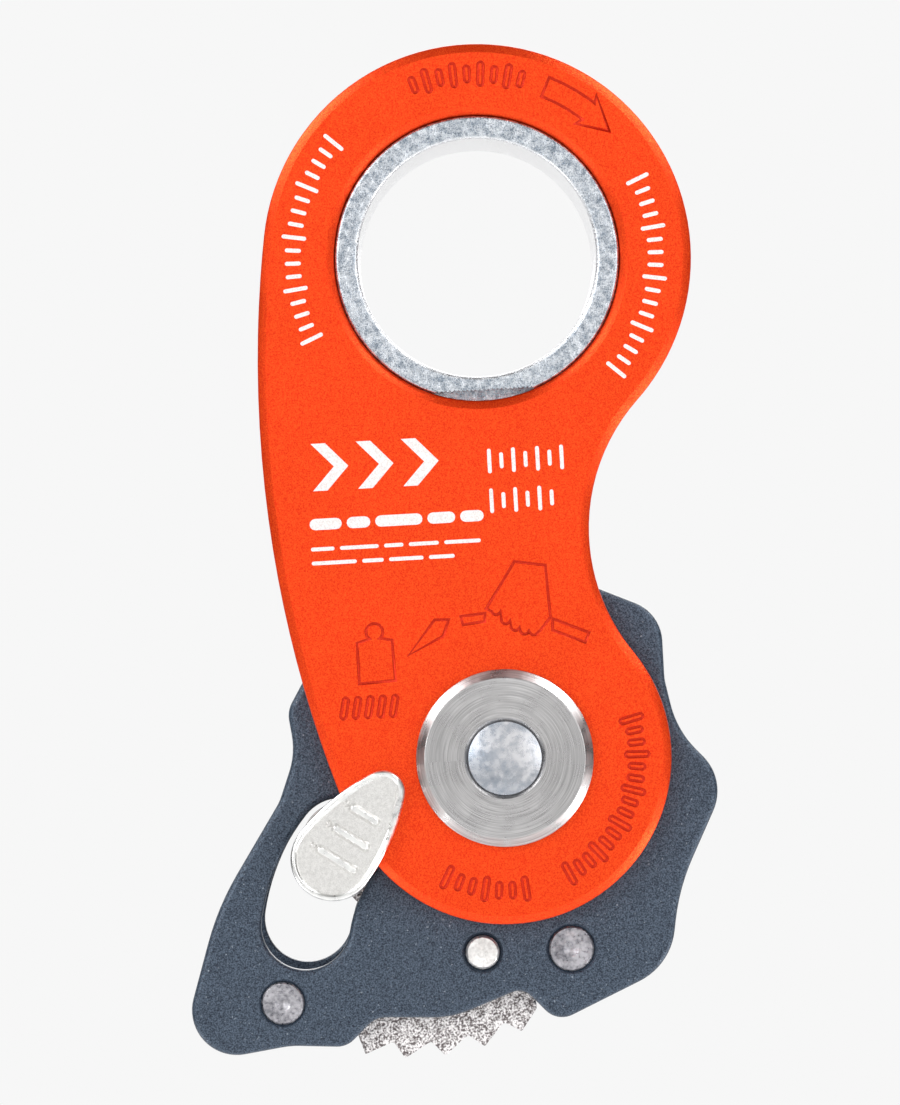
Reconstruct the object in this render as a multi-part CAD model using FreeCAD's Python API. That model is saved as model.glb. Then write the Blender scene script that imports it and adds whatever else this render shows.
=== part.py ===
"""Rope-capture pulley with a toothed cam, one STEP file for each piece.

Millimetres.  The origin is the centre of the collar that the carabiner goes through.
+Z runs from the main axle up to the collar, +X is to the right and the front faces -Y.
At rest the swing frame is open and the cam is parked, with its thumb pad at the top of the slot.
"""
import FreeCAD, Part
import math
import os

from FreeCAD import Vector

# --- Side plates and collar -------------------------------------------------
CLAMP_SPAN = 34.2              # collar's clamping flat down to the main axle
TOP_RADIUS = 19.9              # plate round the collar
BOTTOM_RADIUS = 15.5           # plate round the axle
FLANK_RADIUS = 111.0           # long bulging left edge
WAIST_RADIUS = 18.0            # hollow right edge, which the lever's neck nests in
SIDE_PLATE_THICKNESS = 2.5
SIDE_RIM_BAND = 0.8            # sloping band along the outline and the collar's hole
SIDE_RIM_DROP = 0.5
SIDE_RIM_ROUND = 0.3
SIDE_INNER_ROUND = 0.3
COLLAR_BORE_RADIUS = 11.05
COLLAR_WALL = 2.15
COLLAR_SHOULDER = 1.7          # shoulder between the plates, beyond the wall
COLLAR_LIP_ROUND = 0.4
COLLAR_EDGE_ROUND = 0.35
COLLAR_RECESS = 0.2            # collar ends below the plates' outer faces
COLLAR_FLAT_DEPTH = 0.9        # clamping flat cut into the wall
FLAT_GROOVE_PITCH = 0.4
FLAT_GROOVE_DEPTH = 0.14

# --- Main axle --------------------------------------------------------------
AXLE_RADIUS = 3.4
AXLE_DOME = 0.25
SLEEVE_WALL = 1.6
WASHER_RADIUS = 8.25
WASHER_THICKNESS = 1.8
WASHER_BEVEL = 0.8
WASHER_BORE_BEVEL = 0.35
WASHER_EDGE_ROUND = 0.12

# --- Rope space and plate stack ---------------------------------------------
ROPE_HALF_GAP = 6.8            # middle plane to the inner face of a frame plate
FRAME_PLATE_THICKNESS = 2.0
SLIDE_WASHER_THICKNESS = 0.4
SLIDE_WASHER_RADIUS = 9.0
SLIDE_GAP = 0.05               # each side of a slide washer

# --- Sheave -----------------------------------------------------------------
SHEAVE_RADIUS = 13.8
GROOVE_RADIUS = 9.5            # axle to the bottom of the rope groove
SHEAVE_LIP = 0.9               # flat rim each side of the groove
SHEAVE_SIDE_GAP = 0.2
SHEAVE_BUSH_WALL = 1.5

# --- Swing frame, places counted from the axle ------------------------------
CAM_PIN = (-3.06, -18.08)
LEFT_RIVET = (-21.92, -21.79)
RIGHT_RIVET = (5.23, -18.19)
LEFT_RIVET_RADIUS = 2.0
RIGHT_RIVET_RADIUS = 2.1
RIVET_NECK_RADIUS = 1.5
RIVET_DIMPLE_RADIUS = 0.75
RIVET_SINK = 0.28              # countersink of the plates round a rivet
SPACER_WALL = 0.85
FRAME_RIM_ROUND = 0.55
FRAME_INNER_ROUND = 0.2
SLOT_CENTRE_RADIUS = 16.7      # cam pin to the middle of the slot
SLOT_HALF_WIDTH = 4.15
SLOT_TOP_ANGLE = 41.0          # degrees above the pin's level, on its left
SLOT_BOTTOM_ANGLE = 11.8
# Corners of the frame plates, clockwise from the right lobe: (x, z, radius of the rounding).
FRAME_CORNERS = [
    (15.3, 12.6, 4.0), (15.3, 6.4, 4.0), (16.2, 1.6, 9.0), (20.6, -3.3, 4.6),
    (15.6, -13.1, 20.0), (14.4, -20.3, 6.0), (3.55, -25.0, 2.2), (0.5, -21.6, 1.6),
    (-6.2, -24.0, 9.0), (-13.35, -23.6, 2.2), (-16.2, -26.2, 2.2), (-21.4, -25.8, 8.0),
    (-32.3, -27.2, 4.2), (-27.5, -12.5, 26.0), (-21.2, -3.0, 5.0), (-19.5, 1.4, 7.0),
    (-20.0, 5.4, 2.6), (-13.6, 15.9, 12.0), (3.0, 18.2, 12.0),
]

# --- Cam, places counted from its pin ---------------------------------------
CAM_PIN_RADIUS = 1.575
CAM_PIN_SINK_FLARE = 0.375
CAM_PIN_SINK_DEPTH = 0.6
CAM_BUSH_WALL = 0.8
CAM_BOSS_WALL = 1.375
CAM_SIDE_GAP = 1.2             # cam's broad part to a frame plate
CAM_ARM_THICKNESS = 2.4
TOOTH_CENTRE = (-6.09, 13.26)
TOOTH_TIP_RADIUS = 23.0
TOOTH_ROOT_RADIUS = 21.5
TOOTH_COUNT = 5
TOOTH_FIRST_ANGLE = -103.6
TOOTH_PITCH_ANGLE = 9.4
TOOTH_ROOT_SHARE = 0.68        # where the root lies between one tip and the next
CAM_ARM_END_RADIUS = 3.0

# --- Thumb lever ------------------------------------------------------------
POST_FOOT_GAP = 0.45           # oval foot of the post to the slot's walls
POST_NECK_RADIUS = 2.0
POST_NECK_GAP = 0.6            # neck to the rim of the side plate
POST_NECK_ANGLE = 205.5        # direction from the axle
PAD_GAP = 0.4                  # pad above the side plate
PAD_THICKNESS = 1.9
PAD_HEEL = (-0.13, -0.62)      # centre of the wide end, from the neck
PAD_HEEL_RADIUS = 3.9
PAD_TIP = (4.87, 5.23)         # centre of the narrow end, from the neck
PAD_TIP_RADIUS = 2.05
PAD_SIDE_RADIUS = 20.0
PAD_EDGE_ROUND = 0.5
RIB_LENGTHS = (3.7, 4.6, 5.1)  # from the tip to the heel
RIB_WIDTH = 0.9
RIB_HEIGHT = 0.3
RIB_PITCH = 2.45
RIB_SLOPE = -35.0              # degrees
RIB_MIDDLE = (1.65, 1.26)      # middle of the middle rib, from the neck
LEVER_SCREW_RADIUS = 1.0
LEVER_SCREW_HEAD_RADIUS = 1.7
LEVER_SCREW_HEAD = 0.8

# --- Cam spring -------------------------------------------------------------
SPRING_WIRE_RADIUS = 0.3
SPRING_PLAY = 0.15             # coil to the seat's core
SPRING_TURNS = 3
SPRING_STEPS = 12              # points of the coil's curve in each turn
SPRING_PITCH = 0.8
SPRING_SEAT_WALL = 0.325

# --- Clearances -------------------------------------------------------------
FIT_GAP = 0.02                 # pieces that do not move on each other
RUNNING_GAP = 0.05             # shafts that turn in holes
FREE_GAP = 0.4                 # moving edges that must never touch

# --- Values worked out from the above ---------------------------------------
COLLAR_RADIUS = COLLAR_BORE_RADIUS + COLLAR_WALL
COLLAR_SHOULDER_RADIUS = COLLAR_RADIUS + COLLAR_SHOULDER
COLLAR_FLAT = COLLAR_RADIUS - COLLAR_FLAT_DEPTH
AXLE_DROP = COLLAR_FLAT + CLAMP_SPAN
SLEEVE_RADIUS = AXLE_RADIUS + SLEEVE_WALL
FRAME_FACE = ROPE_HALF_GAP + FRAME_PLATE_THICKNESS
SIDE_INNER = FRAME_FACE + SLIDE_WASHER_THICKNESS + 2 * SLIDE_GAP
SIDE_FACE = SIDE_INNER + SIDE_PLATE_THICKNESS
WASHER_FACE = SIDE_FACE + WASHER_THICKNESS
COLLAR_FACE = SIDE_FACE - COLLAR_RECESS
PAD_BACK = SIDE_FACE + PAD_GAP
PAD_FACE = PAD_BACK + PAD_THICKNESS
SHEAVE_HALF_WIDTH = ROPE_HALF_GAP - SHEAVE_SIDE_GAP
SHEAVE_BORE_RADIUS = SLEEVE_RADIUS + RUNNING_GAP + SHEAVE_BUSH_WALL
CAM_BUSH_RADIUS = CAM_PIN_RADIUS + RUNNING_GAP + CAM_BUSH_WALL
CAM_BOSS_RADIUS = CAM_BUSH_RADIUS + CAM_BOSS_WALL
CAM_HALF_WIDTH = ROPE_HALF_GAP - CAM_SIDE_GAP
SPRING_SEAT_RADIUS = CAM_BUSH_RADIUS + SPRING_SEAT_WALL
SPRING_RADIUS = SPRING_SEAT_RADIUS + SPRING_PLAY + SPRING_WIRE_RADIUS
ARM_FACE = ROPE_HALF_GAP - SHEAVE_SIDE_GAP
POST_FOOT_RADIUS = SLOT_HALF_WIDTH - POST_FOOT_GAP
POST_FOOT_FACE = FRAME_FACE + 0.2
AXLE_POINT = (0.0, -AXLE_DROP)


# --- Points and outlines in the XZ plane ------------------------------------
def offset(base, step):
    """Point a step away from a base point."""
    return (base[0] + step[0], base[1] + step[1])


def polar(base, radius, degrees):
    """Point at a radius and an angle from a base point."""
    angle = math.radians(degrees)
    return (base[0] + radius * math.cos(angle), base[1] + radius * math.sin(angle))


def at(point, y):
    """XZ point as a vector at height y of the stack."""
    return Vector(point[0], y, point[1])


def meeting_point(first, first_distance, second, second_distance, side):
    """Point at the two distances from two centres, on one side (+1 or -1) of their line."""
    span = math.dist(first, second)
    along = (span ** 2 + first_distance ** 2 - second_distance ** 2) / (2 * span)
    aside = side * math.sqrt(first_distance ** 2 - along ** 2)
    unit = ((second[0] - first[0]) / span, (second[1] - first[1]) / span)
    return (first[0] + along * unit[0] - aside * unit[1], first[1] + along * unit[1] + aside * unit[0])


def towards(start, target, distance):
    """Point at a distance from start in the direction of target."""
    span = math.dist(start, target)
    share = distance / span
    return (start[0] + (target[0] - start[0]) * share, start[1] + (target[1] - start[1]) * share)


def arc(start, middle, end):
    """Edge through three XZ points at y = 0."""
    return Part.Arc(at(start, 0), at(middle, 0), at(end, 0)).toShape()


def two_circle_outline(upper, upper_radius, lower, lower_radius, left_radius, right_radius):
    """Two round ends joined by a bulging left side and a right side.

    A positive right radius bulges as the left side does, and a negative one is a hollow waist.
    """
    hollow = right_radius < 0
    size = abs(right_radius)
    left = meeting_point(upper, left_radius - upper_radius, lower, left_radius - lower_radius, 1)
    if hollow:
        right = meeting_point(upper, size + upper_radius, lower, size + lower_radius, 1)
        right_up = towards(upper, right, upper_radius)
        right_down = towards(lower, right, lower_radius)
    else:
        right = meeting_point(upper, size - upper_radius, lower, size - lower_radius, -1)
        right_up = towards(upper, right, -upper_radius)
        right_down = towards(lower, right, -lower_radius)
    left_up = towards(upper, left, -upper_radius)
    left_down = towards(lower, left, -lower_radius)
    left_middle = ((left_up[0] + left_down[0]) / 2, (left_up[1] + left_down[1]) / 2)
    right_middle = ((right_up[0] + right_down[0]) / 2, (right_up[1] + right_down[1]) / 2)
    return Part.Wire([
        arc(left_up, towards(upper, lower, -upper_radius), right_up),
        arc(right_up, towards(right, right_middle, size), right_down),
        arc(right_down, towards(lower, upper, -lower_radius), left_down),
        arc(left_down, towards(left, left_middle, left_radius), left_up),
    ])


def rounded_outline(corners):
    """Closed outline through corners (x, z, radius), each one rounded by its radius."""
    bends = []
    for index, (x, z, radius) in enumerate(corners):
        here = (x, z)
        before = corners[index - 1][:2]
        after = corners[(index + 1) % len(corners)][:2]
        back = towards(here, before, 1.0)
        ahead = towards(here, after, 1.0)
        half = math.acos((2 - math.dist(back, ahead) ** 2) / 2) / 2
        reach = radius / math.tan(half)
        inward = ((back[0] + ahead[0]) / 2, (back[1] + ahead[1]) / 2)
        middle = towards(here, inward, radius / math.sin(half) - radius)
        bends.append((towards(here, before, reach), middle, towards(here, after, reach)))
    edges = []
    for index, bend in enumerate(bends):
        edges.append(arc(*bend))
        edges.append(Part.makeLine(at(bend[2], 0), at(bends[(index + 1) % len(bends)][0], 0)))
    return Part.Wire(edges)


# --- Solids -----------------------------------------------------------------
def slab(outline, low, high):
    """Outline given its thickness from y = low to y = high."""
    face = Part.Face(outline)
    face.translate(Vector(0, low, 0))
    return face.extrude(Vector(0, high - low, 0))


def disc(centre, radius, low, high):
    """Round slab about an XZ point from y = low to y = high."""
    return Part.makeCylinder(radius, high - low, at(centre, low), Vector(0, 1, 0))


def turned(centre, profile):
    """Solid of revolution about the Y line through a point, from (radius, y) corners."""
    corners = [Vector(centre[0] + radius, y, centre[1]) for radius, y in profile]
    outline = Part.makePolygon(corners + corners[:1])
    return Part.Face(outline).revolve(at(centre, 0), Vector(0, 1, 0), 360)


def edges_at(solid, y):
    """Edges that lie at height y."""
    edges = []
    for edge in solid.Edges:
        box = edge.BoundBox
        if abs(box.YMin - y) < 1e-4 and abs(box.YMax - y) < 1e-4:
            edges.append(edge)
    return edges


def rounded_rim(solid, y, radius):
    """Solid with every edge that lies at height y rounded."""
    return solid.makeFillet(radius, edges_at(solid, y))


def rounded_ends(solid, radius, y, rounding):
    """Solid with its circles of one radius at heights -y and +y rounded."""
    edges = []
    for edge in solid.Edges:
        if isinstance(edge.Curve, Part.Circle):
            same_radius = abs(edge.Curve.Radius - radius) < 1e-4
            same_height = abs(abs(edge.Curve.Center.y) - y) < 1e-4
            if same_radius and same_height:
                edges.append(edge)
    return solid.makeFillet(rounding, edges)


def rear_copy(solid):
    """Mirror image of a front piece, behind the middle plane."""
    return solid.mirror(Vector(0, 0, 0), Vector(0, 1, 0))


def frame_point(place):
    """Place counted from the axle, in the model's frame."""
    return offset(AXLE_POINT, place)


# --- Side plates, collar and axle -------------------------------------------
def make_front_side_plate():
    outline = two_circle_outline((0.0, 0.0), TOP_RADIUS, AXLE_POINT, BOTTOM_RADIUS, FLANK_RADIUS, -WAIST_RADIUS)
    plate = rounded_rim(slab(outline, -SIDE_FACE, -SIDE_INNER), -SIDE_INNER, SIDE_INNER_ROUND)
    plate = plate.makeChamfer(SIDE_RIM_DROP, SIDE_RIM_BAND, edges_at(plate, -SIDE_FACE))
    hole_radius = COLLAR_RADIUS + RUNNING_GAP
    plate = plate.cut(turned((0, 0), [
        (0, -SIDE_FACE), (hole_radius + SIDE_RIM_BAND, -SIDE_FACE),
        (hole_radius, -SIDE_FACE + SIDE_RIM_DROP), (hole_radius, -SIDE_INNER), (0, -SIDE_INNER),
    ]))
    plate = rounded_rim(plate, -SIDE_FACE + SIDE_RIM_DROP, SIDE_RIM_ROUND)
    return plate.cut(disc(AXLE_POINT, AXLE_RADIUS + FIT_GAP, -SIDE_FACE, -SIDE_INNER))


def make_collar():
    ring = turned((0, 0), [
        (COLLAR_BORE_RADIUS, -COLLAR_FACE), (COLLAR_RADIUS, -COLLAR_FACE), (COLLAR_RADIUS, -SIDE_INNER),
        (COLLAR_SHOULDER_RADIUS, -SIDE_INNER), (COLLAR_SHOULDER_RADIUS, SIDE_INNER),
        (COLLAR_RADIUS, SIDE_INNER), (COLLAR_RADIUS, COLLAR_FACE), (COLLAR_BORE_RADIUS, COLLAR_FACE),
    ])
    ring = rounded_ends(ring, COLLAR_BORE_RADIUS, COLLAR_FACE, COLLAR_LIP_ROUND)
    ring = rounded_ends(ring, COLLAR_RADIUS, COLLAR_FACE, COLLAR_EDGE_ROUND)
    half_chord = math.sqrt(COLLAR_RADIUS ** 2 - COLLAR_FLAT ** 2)
    grooves_each_side = int(half_chord / FLAT_GROOVE_PITCH)
    spans = ((-COLLAR_FACE, -SIDE_INNER), (-ROPE_HALF_GAP, ROPE_HALF_GAP), (SIDE_INNER, COLLAR_FACE))
    for low, high in spans:
        ring = ring.cut(Part.makeBox(
            2 * COLLAR_SHOULDER_RADIUS, high - low, COLLAR_SHOULDER_RADIUS,
            Vector(-COLLAR_SHOULDER_RADIUS, low, -COLLAR_FLAT - COLLAR_SHOULDER_RADIUS)))
        for step in range(-grooves_each_side, grooves_each_side + 1):
            middle = step * FLAT_GROOVE_PITCH
            groove = Part.makePolygon([
                Vector(middle - FLAT_GROOVE_DEPTH, low, -COLLAR_FLAT),
                Vector(middle, low, -COLLAR_FLAT + FLAT_GROOVE_DEPTH),
                Vector(middle + FLAT_GROOVE_DEPTH, low, -COLLAR_FLAT),
                Vector(middle - FLAT_GROOVE_DEPTH, low, -COLLAR_FLAT),
            ])
            ring = ring.cut(Part.Face(groove).extrude(Vector(0, high - low, 0)))
    return ring


def make_axle_rivet():
    reach = WASHER_FACE + AXLE_DOME
    ball = Part.makeSphere(reach, at(AXLE_POINT, 0))
    return disc(AXLE_POINT, AXLE_RADIUS, -reach, reach).common(ball)


def make_front_axle_washer():
    bore = AXLE_RADIUS + FIT_GAP
    washer = turned(AXLE_POINT, [
        (bore + WASHER_BORE_BEVEL, -WASHER_FACE), (WASHER_RADIUS - WASHER_BEVEL, -WASHER_FACE),
        (WASHER_RADIUS, -WASHER_FACE + WASHER_BEVEL), (WASHER_RADIUS, -SIDE_FACE),
        (bore, -SIDE_FACE), (bore, -WASHER_FACE + WASHER_BORE_BEVEL),
    ])
    washer = rounded_ends(washer, WASHER_RADIUS - WASHER_BEVEL, WASHER_FACE, WASHER_EDGE_ROUND)
    return rounded_ends(washer, WASHER_RADIUS, WASHER_FACE - WASHER_BEVEL, WASHER_EDGE_ROUND)


def make_axle_sleeve():
    tube = disc(AXLE_POINT, SLEEVE_RADIUS, -SIDE_INNER, SIDE_INNER)
    return tube.cut(disc(AXLE_POINT, AXLE_RADIUS + FIT_GAP, -SIDE_INNER, SIDE_INNER))


# --- Sheave -----------------------------------------------------------------
def make_sheave_wheel():
    half = SHEAVE_HALF_WIDTH
    lip = half - SHEAVE_LIP
    bore = SHEAVE_BORE_RADIUS + FIT_GAP

    def corner(radius, y):
        return Vector(radius, y, -AXLE_DROP)

    outline = Part.Wire([
        Part.makeLine(corner(bore, -half), corner(SHEAVE_RADIUS, -half)),
        Part.makeLine(corner(SHEAVE_RADIUS, -half), corner(SHEAVE_RADIUS, -lip)),
        Part.Arc(corner(SHEAVE_RADIUS, -lip), corner(GROOVE_RADIUS, 0), corner(SHEAVE_RADIUS, lip)).toShape(),
        Part.makeLine(corner(SHEAVE_RADIUS, lip), corner(SHEAVE_RADIUS, half)),
        Part.makeLine(corner(SHEAVE_RADIUS, half), corner(bore, half)),
        Part.makeLine(corner(bore, half), corner(bore, -half)),
    ])
    return Part.Face(outline).revolve(at(AXLE_POINT, 0), Vector(0, 1, 0), 360)


def make_sheave_bush():
    bush = disc(AXLE_POINT, SHEAVE_BORE_RADIUS, -SHEAVE_HALF_WIDTH, SHEAVE_HALF_WIDTH)
    return bush.cut(disc(AXLE_POINT, SLEEVE_RADIUS + RUNNING_GAP, -SHEAVE_HALF_WIDTH, SHEAVE_HALF_WIDTH))


# --- Swing frame ------------------------------------------------------------
def slot_outline():
    pin = frame_point(CAM_PIN)
    inner = SLOT_CENTRE_RADIUS - SLOT_HALF_WIDTH
    outer = SLOT_CENTRE_RADIUS + SLOT_HALF_WIDTH
    top = 180 - SLOT_TOP_ANGLE
    bottom = 180 - SLOT_BOTTOM_ANGLE
    middle = (top + bottom) / 2
    top_centre = polar(pin, SLOT_CENTRE_RADIUS, top)
    bottom_centre = polar(pin, SLOT_CENTRE_RADIUS, bottom)
    return Part.Wire([
        arc(polar(pin, outer, top), polar(pin, outer, middle), polar(pin, outer, bottom)),
        arc(polar(pin, outer, bottom), polar(bottom_centre, SLOT_HALF_WIDTH, bottom + 90),
            polar(pin, inner, bottom)),
        arc(polar(pin, inner, bottom), polar(pin, inner, middle), polar(pin, inner, top)),
        arc(polar(pin, inner, top), polar(top_centre, SLOT_HALF_WIDTH, top - 90), polar(pin, outer, top)),
    ])


def make_front_frame_plate():
    corners = [offset(AXLE_POINT, (x, z)) + (radius,) for x, z, radius in FRAME_CORNERS]
    plate = slab(rounded_outline(corners), -FRAME_FACE, -ROPE_HALF_GAP)
    plate = plate.cut(slab(slot_outline(), -FRAME_FACE, -ROPE_HALF_GAP))
    plate = rounded_rim(plate, -FRAME_FACE, FRAME_RIM_ROUND)
    plate = rounded_rim(plate, -ROPE_HALF_GAP, FRAME_INNER_ROUND)
    holes = [
        (AXLE_POINT, SLEEVE_RADIUS + RUNNING_GAP),
        (frame_point(LEFT_RIVET), LEFT_RIVET_RADIUS + FIT_GAP),
        (frame_point(RIGHT_RIVET), RIGHT_RIVET_RADIUS + FIT_GAP),
        (frame_point(CAM_PIN), CAM_PIN_RADIUS + FIT_GAP),
    ]
    for centre, radius in holes:
        plate = plate.cut(disc(centre, radius, -FRAME_FACE, -ROPE_HALF_GAP))
    sinks = [
        (LEFT_RIVET, LEFT_RIVET_RADIUS, RIVET_SINK, RIVET_SINK),
        (RIGHT_RIVET, RIGHT_RIVET_RADIUS, RIVET_SINK, RIVET_SINK),
        (CAM_PIN, CAM_PIN_RADIUS, CAM_PIN_SINK_FLARE, CAM_PIN_SINK_DEPTH),
    ]
    for place, radius, flare, depth in sinks:
        plate = plate.cut(turned(frame_point(place), [
            (0, -FRAME_FACE), (radius + flare, -FRAME_FACE), (radius + FIT_GAP, -FRAME_FACE + depth),
            (0, -FRAME_FACE + depth),
        ]))
    return plate


def make_rivet(place, head_radius):
    return turned(frame_point(place), [
        (0, -FRAME_FACE + 0.2), (0.35, -FRAME_FACE + 0.12), (RIVET_DIMPLE_RADIUS, -FRAME_FACE),
        (head_radius - 0.15, -FRAME_FACE), (head_radius, -FRAME_FACE + 0.15),
        (head_radius, -ROPE_HALF_GAP), (RIVET_NECK_RADIUS, -ROPE_HALF_GAP),
        (RIVET_NECK_RADIUS, ROPE_HALF_GAP), (head_radius, ROPE_HALF_GAP),
        (head_radius, FRAME_FACE - 0.15), (head_radius - 0.15, FRAME_FACE),
        (RIVET_DIMPLE_RADIUS, FRAME_FACE), (0.35, FRAME_FACE - 0.12), (0, FRAME_FACE - 0.2),
    ])


def make_spacer(place):
    centre = frame_point(place)
    bore = RIVET_NECK_RADIUS + FIT_GAP
    tube = disc(centre, bore + SPACER_WALL, -ROPE_HALF_GAP, ROPE_HALF_GAP)
    return tube.cut(disc(centre, bore, -ROPE_HALF_GAP, ROPE_HALF_GAP))


def make_cam_pin():
    return turned(frame_point(CAM_PIN), [
        (0, -FRAME_FACE), (CAM_PIN_RADIUS - 0.2, -FRAME_FACE), (CAM_PIN_RADIUS, -FRAME_FACE + 0.2),
        (CAM_PIN_RADIUS, FRAME_FACE - 0.2), (CAM_PIN_RADIUS - 0.2, FRAME_FACE), (0, FRAME_FACE),
    ])


def make_front_slide_washer():
    low = -FRAME_FACE - SLIDE_GAP - SLIDE_WASHER_THICKNESS
    high = -FRAME_FACE - SLIDE_GAP
    washer = disc(AXLE_POINT, SLIDE_WASHER_RADIUS, low, high)
    return washer.cut(disc(AXLE_POINT, SLEEVE_RADIUS + RUNNING_GAP, low, high))


def make_cam_spring():
    points = []
    for step in range(SPRING_TURNS * SPRING_STEPS + 1):
        x, y = polar((0.0, 0.0), SPRING_RADIUS, 360 * step / SPRING_STEPS)
        points.append(Vector(x, y, SPRING_PITCH * step / SPRING_STEPS))
    coil = Part.BSplineCurve()
    coil.interpolate(points)
    section = Part.Wire(Part.makeCircle(SPRING_WIRE_RADIUS, points[0], Vector(0, 1, 0)))
    spring = Part.Wire(coil.toShape()).makePipeShell([section], True, True)
    spring.rotate(Vector(0, 0, 0), Vector(1, 0, 0), -90)
    start = CAM_HALF_WIDTH - SPRING_WIRE_RADIUS - SPRING_TURNS * SPRING_PITCH
    spring.translate(at(frame_point(CAM_PIN), start))
    return spring


# --- Cam and thumb lever ----------------------------------------------------
def tooth_corners(pin):
    """Tips and roots of the teeth, from the longest one to the shortest."""
    centre = offset(pin, TOOTH_CENTRE)
    corners = []
    for index in range(TOOTH_COUNT):
        angle = TOOTH_FIRST_ANGLE + index * TOOTH_PITCH_ANGLE
        corners.append(polar(centre, TOOTH_TIP_RADIUS, angle))
        if index < TOOTH_COUNT - 1:
            corners.append(polar(centre, TOOTH_ROOT_RADIUS, angle + TOOTH_ROOT_SHARE * TOOTH_PITCH_ANGLE))
    return corners


def make_toothed_cam():
    pin = frame_point(CAM_PIN)
    foot = polar(pin, SLOT_CENTRE_RADIUS, 180 - SLOT_TOP_ANGLE)
    right_flank = [offset(pin, place) for place in ((4.85, -5.6), (4.3, -3.0), (3.4, 0.6))]
    left_flank = [offset(pin, place) for place in ((-3.2, 1.6), (-8.6, -1.8), (-12.3, -6.6))]
    corners = tooth_corners(pin) + right_flank + left_flank
    outline = Part.makePolygon([at(corner, 0) for corner in corners + corners[:1]])
    body = slab(outline, -CAM_HALF_WIDTH, CAM_HALF_WIDTH)
    body = body.fuse(disc(pin, CAM_BOSS_RADIUS, -ARM_FACE, CAM_HALF_WIDTH))
    arm_corners = [
        offset(pin, (-1.2, 3.6)), polar(foot, CAM_ARM_END_RADIUS, 49), polar(foot, CAM_ARM_END_RADIUS, 139),
        polar(foot, CAM_ARM_END_RADIUS, 229), offset(pin, (-10.4, 4.1)), offset(pin, (-8.6, -1.8)),
        offset(pin, (0.5, -3.7)),
    ]
    arm_outline = Part.makePolygon([at(corner, 0) for corner in arm_corners + arm_corners[:1]])
    arm = slab(arm_outline, -ARM_FACE, -ARM_FACE + CAM_ARM_THICKNESS)
    arm = arm.fuse(disc(foot, CAM_ARM_END_RADIUS, -ARM_FACE, -ARM_FACE + CAM_ARM_THICKNESS))
    cam = body.fuse(arm)
    cam = cam.cut(disc(AXLE_POINT, SHEAVE_RADIUS + FREE_GAP, -ARM_FACE, ARM_FACE))
    cam = cam.cut(disc(pin, CAM_BUSH_RADIUS + FIT_GAP, -ARM_FACE, ARM_FACE))
    seat_depth = SPRING_TURNS * SPRING_PITCH + 4 * SPRING_WIRE_RADIUS
    seat = disc(pin, SPRING_RADIUS + SPRING_WIRE_RADIUS + FREE_GAP, CAM_HALF_WIDTH - seat_depth, CAM_HALF_WIDTH)
    core = disc(pin, SPRING_SEAT_RADIUS, CAM_HALF_WIDTH - seat_depth, CAM_HALF_WIDTH)
    cam = cam.cut(seat.cut(core))
    screw = disc(foot, LEVER_SCREW_RADIUS + FIT_GAP, -ARM_FACE, -ARM_FACE + CAM_ARM_THICKNESS)
    return cam.cut(screw).removeSplitter()


def make_cam_bush():
    pin = frame_point(CAM_PIN)
    bush = disc(pin, CAM_BUSH_RADIUS, -ARM_FACE, CAM_HALF_WIDTH)
    return bush.cut(disc(pin, CAM_PIN_RADIUS + RUNNING_GAP, -ARM_FACE, CAM_HALF_WIDTH))


def neck_point():
    """Middle of the lever's neck, which passes the side plate's rim."""
    return polar(AXLE_POINT, BOTTOM_RADIUS + POST_NECK_GAP + POST_NECK_RADIUS, POST_NECK_ANGLE)


def make_lever_post():
    foot = polar(frame_point(CAM_PIN), SLOT_CENTRE_RADIUS, 180 - SLOT_TOP_ANGLE)
    post = disc(foot, POST_FOOT_RADIUS, -POST_FOOT_FACE, -ARM_FACE)
    post = post.cut(disc(AXLE_POINT, SHEAVE_RADIUS + FREE_GAP, -ROPE_HALF_GAP, -ARM_FACE))
    post = post.fuse(disc(neck_point(), POST_NECK_RADIUS, -PAD_BACK, -POST_FOOT_FACE))
    return post.cut(disc(foot, LEVER_SCREW_RADIUS + FIT_GAP, -POST_FOOT_FACE + 0.5, -ARM_FACE))


def make_thumb_pad():
    neck = neck_point()
    tip = offset(neck, PAD_TIP)
    heel = offset(neck, PAD_HEEL)
    outline = two_circle_outline(tip, PAD_TIP_RADIUS, heel, PAD_HEEL_RADIUS, PAD_SIDE_RADIUS, PAD_SIDE_RADIUS)
    pad = slab(outline, -PAD_FACE, -PAD_BACK)
    pad = rounded_rim(pad, -PAD_FACE, PAD_EDGE_ROUND)
    middle = offset(neck, RIB_MIDDLE)
    low = -PAD_FACE - RIB_HEIGHT
    for index, length in enumerate(RIB_LENGTHS):
        centre = polar(middle, (index - (len(RIB_LENGTHS) - 1) / 2) * RIB_PITCH, RIB_SLOPE - 90)
        rib = Part.makeBox(length, RIB_HEIGHT + 0.1, RIB_WIDTH, Vector(-length / 2, low, -RIB_WIDTH / 2))
        rib.rotate(Vector(0, 0, 0), Vector(0, -1, 0), RIB_SLOPE)
        rib.translate(at(centre, 0))
        pad = pad.fuse(rib)
    return pad


def make_lever_screw():
    foot = polar(frame_point(CAM_PIN), SLOT_CENTRE_RADIUS, 180 - SLOT_TOP_ANGLE)
    arm_back = -ARM_FACE + CAM_ARM_THICKNESS
    shank = disc(foot, LEVER_SCREW_RADIUS, -POST_FOOT_FACE + 0.6, arm_back)
    return shank.fuse(disc(foot, LEVER_SCREW_HEAD_RADIUS, arm_back, arm_back + LEVER_SCREW_HEAD))


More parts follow.
